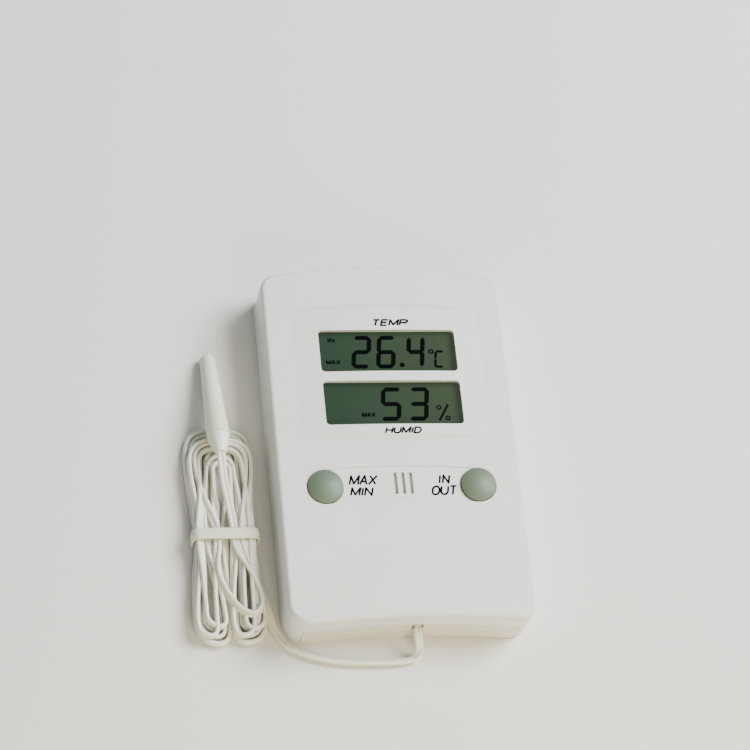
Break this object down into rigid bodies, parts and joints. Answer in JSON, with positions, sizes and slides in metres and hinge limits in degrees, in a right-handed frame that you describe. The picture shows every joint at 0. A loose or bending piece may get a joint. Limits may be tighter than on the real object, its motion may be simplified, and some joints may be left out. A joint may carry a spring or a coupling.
{
  "type": "maximum minimum thermometer",
  "caption": "Digital indoor and outdoor thermometer with humidity display, memory buttons, fold-out stand and a tapered probe on a flat cable tied in a hank",
  "frame": {"origin": "Under the middle of the case, on the surface that it lies on, with the back of the case down", "axes": "+X is to the right across the front face, +Y runs up the case towards its top edge, +Z points out of the front face"},
  "size_m": [0.0951, 0.1176, 0.0172],
  "materials": {
    "case_plastic": "fine satin white ABS",
    "back_plastic": "fine satin white ABS",
    "screw_steel": "zinc plated",
    "cell_label": "printed sleeve",
    "spring_steel": "nickel plated",
    "lead_red": "PVC insulation",
    "clear_lens": "clear acrylic",
    "polarizer": "grey-green film",
    "lcd_glass": "clear glass",
    "reflector": "brushed reflector film",
    "elastomer": "silicone with carbon layers",
    "board_green": "solder mask",
    "resin_black": "cured epoxy",
    "can_metal": "drawn can",
    "chip_black": "ceramic chip",
    "chip_tan": "ceramic chip",
    "bead": "epoxy bead",
    "sensor_white": "moulded housing",
    "button_plastic": "soft gloss grey-green",
    "dome_rubber": "silicone",
    "cord_plastic": "white PVC, soft gloss",
    "tie_plastic": "cream PVC",
    "probe_plastic": "satin off-white ABS"
  },
  "bodies": {
    "root": {"front_cover": "case_plastic", "rear_cover": "back_plastic", "case_screws": "screw_steel", "battery_cell": "cell_label", "battery_spring": "spring_steel", "battery_contacts": "spring_steel", "battery_leads": "lead_red", "display_lens": "clear_lens", "lcd_front_polarizer": "polarizer", "lcd_front_glass": "lcd_glass", "lcd_rear_glass": "lcd_glass", "lcd_reflector": "reflector", "lcd_frame": "back_plastic", "upper_zebra_strip": "elastomer", "lower_zebra_strip": "elastomer", "main_board": "board_green", "board_screws": "screw_steel", "controller_blob": "resin_black", "crystal": "can_metal", "chip_resistors": "chip_black", "chip_capacitors": "chip_tan", "inside_thermistor": "bead", "humidity_sensor": "sensor_white", "max_min_contact": "dome_rubber", "in_out_contact": "dome_rubber", "inner_cable": "cord_plastic", "sensor_cord": "cord_plastic", "cord_hank": "cord_plastic", "hank_tie": "tie_plastic", "probe_lead": "cord_plastic", "probe_cap": "probe_plastic", "probe_body": "probe_plastic", "probe_thermistor": "bead"},
    "battery_door": {"battery_door": "back_plastic"},
    "fold_out_stand": {"fold_out_stand": "back_plastic"},
    "max_min_button": {"max_min_button": "button_plastic"},
    "in_out_button": {"in_out_button": "button_plastic"}
  },
  "joints": [
    {"name": "max_min_press", "type": "slide", "parent": "root", "child": "max_min_button", "axis": [0, 0, -1], "range_m": [0, 0.0009], "stiffness_N_per_m": 700, "deforming": ["max_min_contact"]},
    {"name": "in_out_press", "type": "slide", "parent": "root", "child": "in_out_button", "axis": [0, 0, -1], "range_m": [0, 0.0009], "stiffness_N_per_m": 700, "deforming": ["in_out_contact"]},
    {"name": "battery_door_lift", "type": "slide", "parent": "root", "child": "battery_door", "axis": [0, 0, -1], "range_m": [0, 0.012]},
    {"name": "stand_hinge", "type": "hinge", "parent": "root", "child": "fold_out_stand", "pos_m": [0, -0.02, 0.0019], "axis": [-1, 0, 0], "range_deg": [0, 115]}
  ]
}
